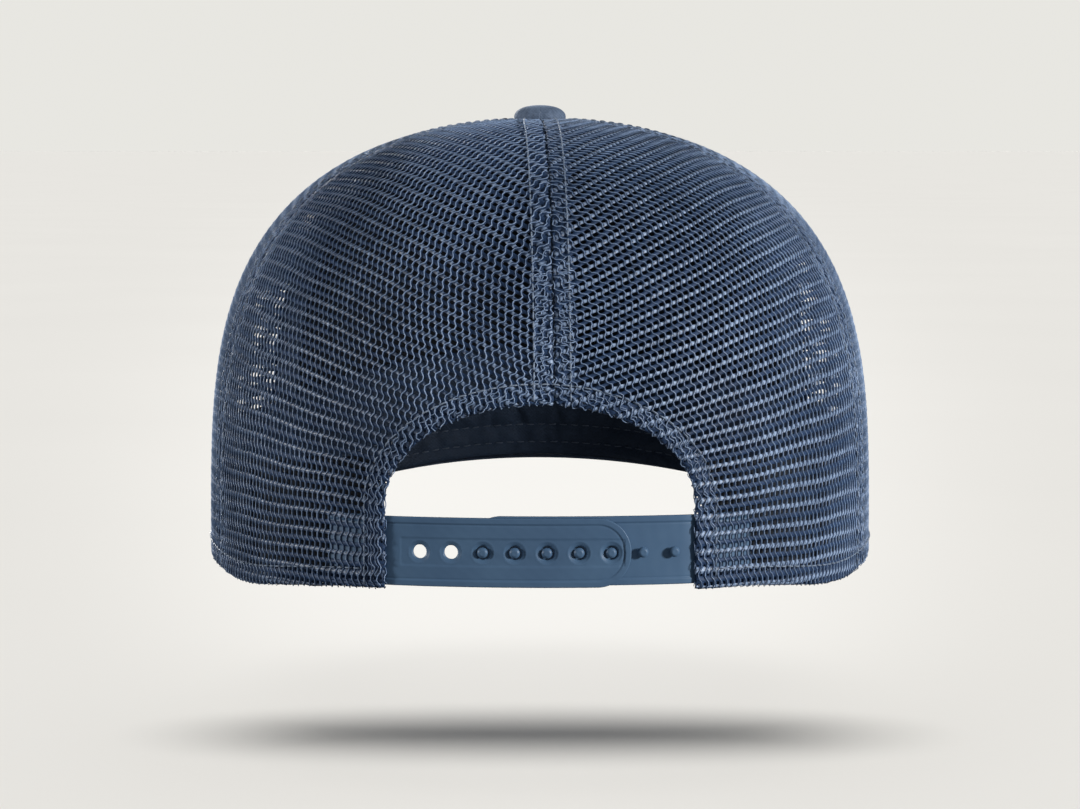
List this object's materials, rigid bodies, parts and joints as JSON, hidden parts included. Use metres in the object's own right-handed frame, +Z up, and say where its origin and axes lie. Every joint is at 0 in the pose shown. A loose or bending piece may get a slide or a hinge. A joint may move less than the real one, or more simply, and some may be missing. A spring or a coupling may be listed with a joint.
{
  "type": "trucker mesh cap",
  "caption": "Trucker cap with a smooth front panel, see-through mesh sides and back, a flat arched visor, a covered top button and a snap strap closure.",
  "frame": {"origin": "centre of the head opening, in the plane of the rim", "axes": "+Z up through the top button, -Y towards the visor, +Y towards the snap closure, +X towards the wearer's left"},
  "size_m": [0.18, 0.2596, 0.1211],
  "materials": {
    "mesh_knit": "open warp-knit polyester mesh",
    "front_fabric": "smooth woven polyester",
    "tape_fabric": "flat woven tape",
    "band_fabric": "matt twill",
    "foam": "laminated foam",
    "visor_fabric": "smooth woven polyester",
    "visor_plastic": "stiff sheet",
    "strap_plastic": "moulded, satin",
    "button_metal": "pressed"
  },
  "bodies": {
    "crown": {"front_panel": "front_fabric", "front_foam": "foam", "left_side_mesh": "mesh_knit", "right_side_mesh": "mesh_knit", "left_back_mesh": "mesh_knit", "right_back_mesh": "mesh_knit", "back_seam_tape": "tape_fabric", "left_back_seam_tape": "tape_fabric", "right_back_seam_tape": "tape_fabric", "left_front_seam_tape": "tape_fabric", "right_front_seam_tape": "tape_fabric", "opening_hem": "mesh_knit", "left_rim_hem": "mesh_knit", "right_rim_hem": "mesh_knit", "sweatband_pad": "foam", "sweatband": "band_fabric", "visor_board": "visor_plastic", "visor_top_cover": "visor_fabric", "visor_under_cover": "visor_fabric", "button_cover": "front_fabric", "button_core": "button_metal", "button_rivet": "button_metal", "button_washer": "button_metal", "hole_strap_anchor": "strap_plastic", "peg_strap_anchor": "strap_plastic"},
    "hole_strap": {"hole_strap": "strap_plastic"},
    "peg_strap": {"peg_strap": "strap_plastic"}
  },
  "joints": [
    {"name": "hole_strap_hinge", "type": "hinge", "parent": "crown", "child": "hole_strap", "pos_m": [0.03771, 0.08493, 0.0094], "axis": [0, 0, -1], "range_deg": [0, 75]},
    {"name": "peg_strap_hinge", "type": "hinge", "parent": "crown", "child": "peg_strap", "pos_m": [-0.03771, 0.08493, 0.0094], "axis": [0, 0, -1], "range_deg": [0, 25]}
  ]
}
